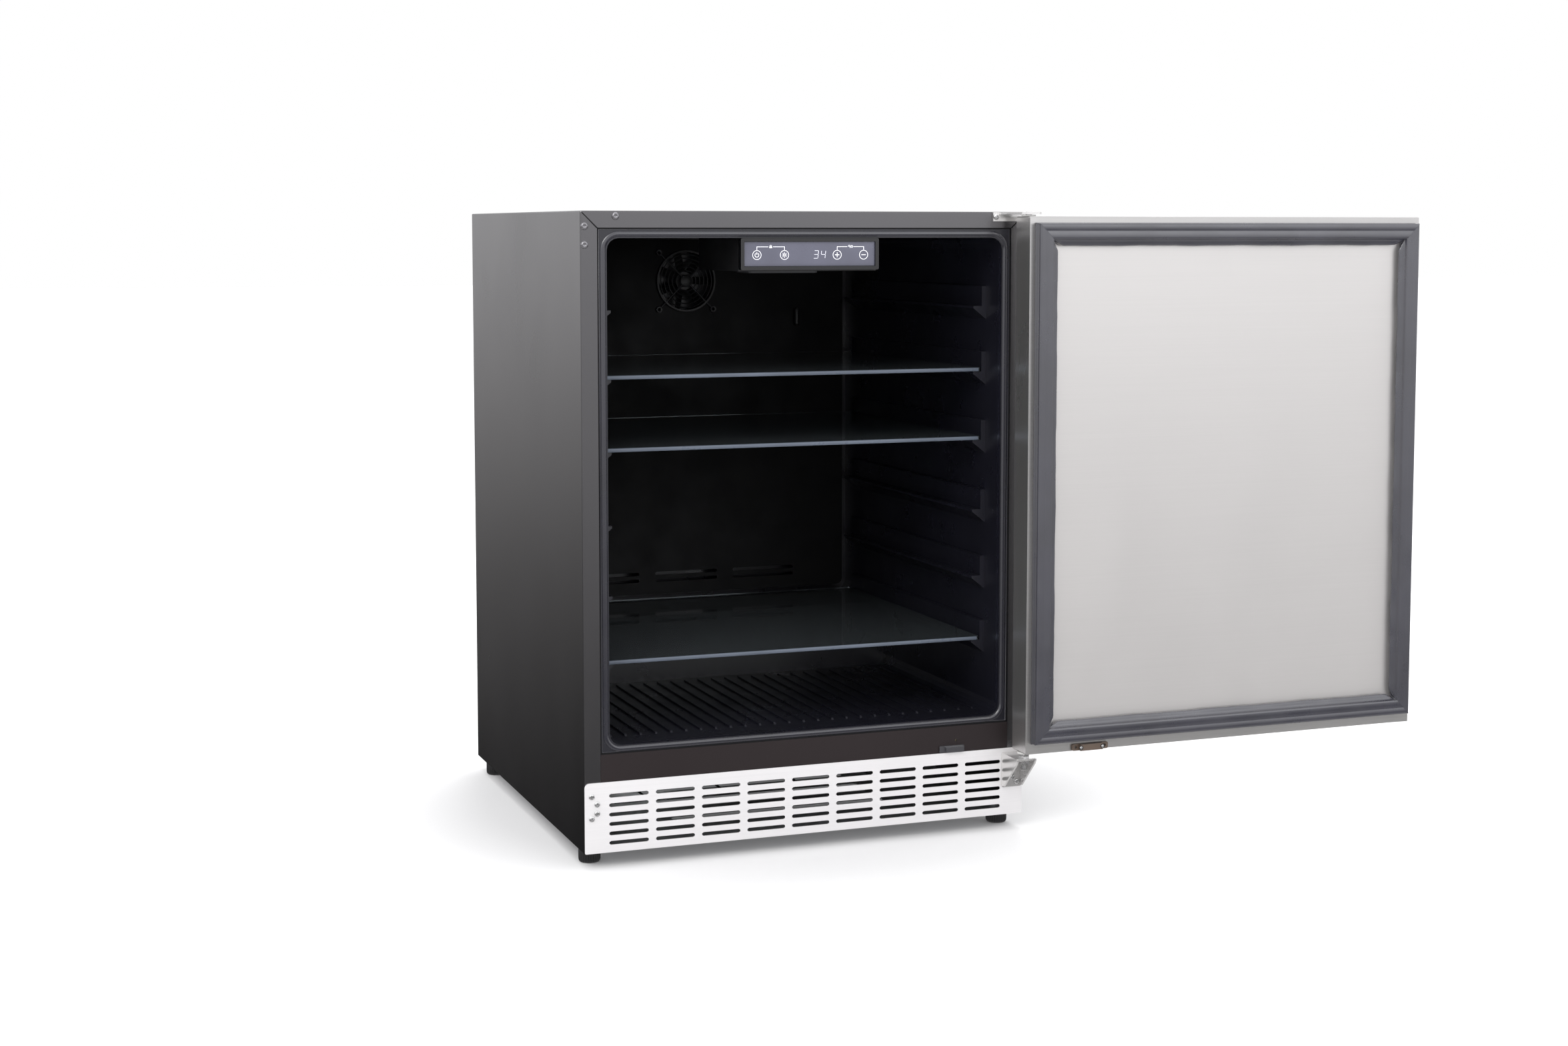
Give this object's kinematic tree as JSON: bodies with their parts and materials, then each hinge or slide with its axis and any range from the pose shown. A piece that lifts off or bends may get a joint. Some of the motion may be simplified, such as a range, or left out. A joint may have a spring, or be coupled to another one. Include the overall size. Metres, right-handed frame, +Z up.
{
  "type": "undercounter beverage refrigerator",
  "caption": "Undercounter beverage refrigerator: steel cabinet with glass shelves, ceiling touch display and toe grille, and a stainless door hinged on the right, shown fully open.",
  "frame": {"origin": "on the floor, in the middle of the footprint of the whole object with its door fully open", "axes": "+Z up, -Y out of the front opening, +X towards the hinge side and along the open door"},
  "size_m": [1.1596, 0.655, 0.811],
  "materials": {
    "charcoal_paint": "satin",
    "brown_black_paint": "satin",
    "liner_plastic": "satin",
    "stainless": "satin",
    "bright_stainless": "satin",
    "galvanised": "satin",
    "zinc": "satin",
    "foam": "matte",
    "vinyl_grey": "matte",
    "black_plastic": "matte",
    "white_nylon": "satin",
    "tinted_glass": "gloss",
    "display_grey": "satin",
    "clear_bezel": "gloss",
    "circuit_green": "satin",
    "copper": "satin",
    "aluminium": "satin",
    "compressor_black": "satin",
    "lamp_lens": "satin"
  },
  "bodies": {
    "cabinet": {"wrapper": "charcoal_paint", "liner": "liner_plastic", "cabinet_foam": "foam", "front_rail": "brown_black_paint", "toe_grille": "bright_stainless", "rear_panel": "galvanised", "machine_deck": "galvanised", "base_plate": "galvanised", "rear_cover": "galvanised", "cord_gland": "black_plastic", "top_hinge_bracket": "stainless", "top_hinge_pin": "zinc", "top_hinge_screw_1": "zinc", "top_hinge_screw_2": "zinc", "top_hinge_screw_3": "zinc", "bottom_hinge_bracket": "bright_stainless", "bottom_hinge_pin": "zinc", "bottom_hinge_nut": "zinc", "bottom_hinge_screw_1": "zinc", "bottom_hinge_screw_2": "zinc", "bottom_hinge_screw_3": "zinc", "bottom_hinge_screw_4": "zinc", "door_switch": "black_plastic", "evaporator_cover": "liner_plastic", "evaporator_fan_guard": "black_plastic", "evaporator_fan_frame": "black_plastic", "evaporator_plate": "aluminium", "evaporator_tube": "aluminium", "temperature_sensor": "black_plastic", "control_housing": "black_plastic", "display_bezel": "clear_bezel", "display_panel": "display_grey", "control_board": "circuit_green", "interior_lamp": "lamp_lens", "compressor": "compressor_black", "compressor_terminal_cover": "black_plastic", "condenser": "compressor_black", "condenser_fan_frame": "black_plastic", "drain_pan": "black_plastic", "filter_drier": "copper"},
    "door": {"door_skin": "stainless", "door_inner_panel": "bright_stainless", "door_foam": "foam", "door_gasket": "vinyl_grey", "door_bush_top": "white_nylon", "door_bush_bottom": "white_nylon", "door_magnet": "black_plastic", "handle_bar": "stainless", "handle_post_lower": "stainless", "handle_post_upper": "stainless"},
    "shelf_upper": {"glass_shelf_upper": "tinted_glass"},
    "shelf_middle": {"glass_shelf_middle": "tinted_glass"},
    "shelf_lower": {"glass_shelf_lower": "tinted_glass"},
    "evaporator_fan": {"evaporator_fan_rotor": "black_plastic"},
    "condenser_fan": {"condenser_fan_rotor": "black_plastic"},
    "levelling_foot_front_left": {"foot_front_left": "black_plastic"},
    "levelling_foot_front_right": {"foot_front_right": "black_plastic"},
    "levelling_foot_rear_left": {"foot_rear_left": "black_plastic"},
    "levelling_foot_rear_right": {"foot_rear_right": "black_plastic"}
  },
  "joints": [
    {"name": "door_hinge", "type": "hinge", "parent": "cabinet", "child": "door", "pos_m": [0.00275, -0.291, 0.458], "axis": [0, 0, 1], "range_deg": [-180, 0]},
    {"name": "shelf_upper_slide", "type": "slide", "parent": "cabinet", "child": "shelf_upper", "axis": [0, -1, 0], "range_m": [0, 0.3]},
    {"name": "shelf_middle_slide", "type": "slide", "parent": "cabinet", "child": "shelf_middle", "axis": [0, -1, 0], "range_m": [0, 0.3]},
    {"name": "shelf_lower_slide", "type": "slide", "parent": "cabinet", "child": "shelf_lower", "axis": [0, -1, 0], "range_m": [0, 0.3]},
    {"name": "evaporator_fan_spin", "type": "hinge", "parent": "cabinet", "child": "evaporator_fan", "pos_m": [-0.28125, 0.2655, 0.714], "axis": [0, 1, 0], "continuous": true},
    {"name": "condenser_fan_spin", "type": "hinge", "parent": "cabinet", "child": "condenser_fan", "pos_m": [-0.46375, 0.194, 0.086], "axis": [0, 1, 0], "continuous": true},
    {"name": "foot_front_left_screw_travel", "type": "slide", "parent": "cabinet", "child": "levelling_foot_front_left", "axis": [0, 0, -1], "range_m": [0, 0.018]},
    {"name": "foot_front_right_screw_travel", "type": "slide", "parent": "cabinet", "child": "levelling_foot_front_right", "axis": [0, 0, -1], "range_m": [0, 0.018]},
    {"name": "foot_rear_left_screw_travel", "type": "slide", "parent": "cabinet", "child": "levelling_foot_rear_left", "axis": [0, 0, -1], "range_m": [0, 0.018]},
    {"name": "foot_rear_right_screw_travel", "type": "slide", "parent": "cabinet", "child": "levelling_foot_rear_right", "axis": [0, 0, -1], "range_m": [0, 0.018]}
  ]
}
